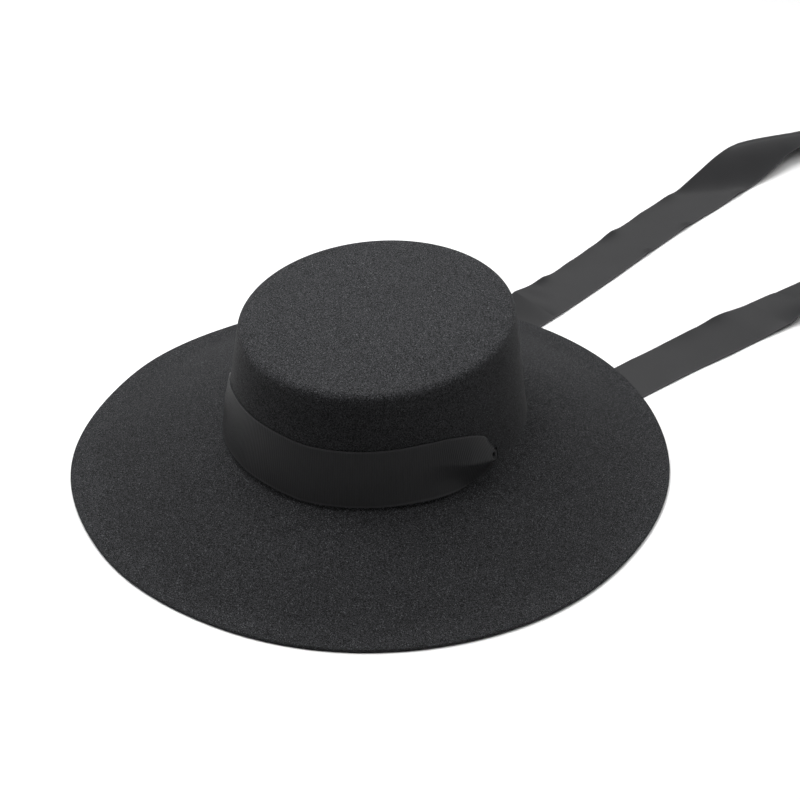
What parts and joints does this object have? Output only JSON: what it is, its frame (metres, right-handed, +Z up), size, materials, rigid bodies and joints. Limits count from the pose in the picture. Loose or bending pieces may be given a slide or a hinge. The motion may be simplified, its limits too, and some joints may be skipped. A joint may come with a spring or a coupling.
{
  "type": "wide-brim hat",
  "caption": "Dark felt hat with a flat-topped oval crown, a wide sloping brim and a grosgrain ribbon that runs through side slits into long free ties.",
  "frame": {"origin": "centre of the oval hat on the surface that its brim rests on", "axes": "+Z up through the flat crown top, -Y towards the hat's front, +X towards the right-hand slit"},
  "size_m": [0.3649, 0.7485, 0.1076],
  "materials": {
    "felt": "matt charcoal wool felt with a short nap",
    "ribbon": "charcoal grosgrain with fine cross ribs and a dull sheen"
  },
  "bodies": {
    "root": {"felt_body": "felt", "ribbon_band": "ribbon", "ribbon_tie_left": "ribbon", "ribbon_tie_right": "ribbon"}
  },
  "joints": []
}
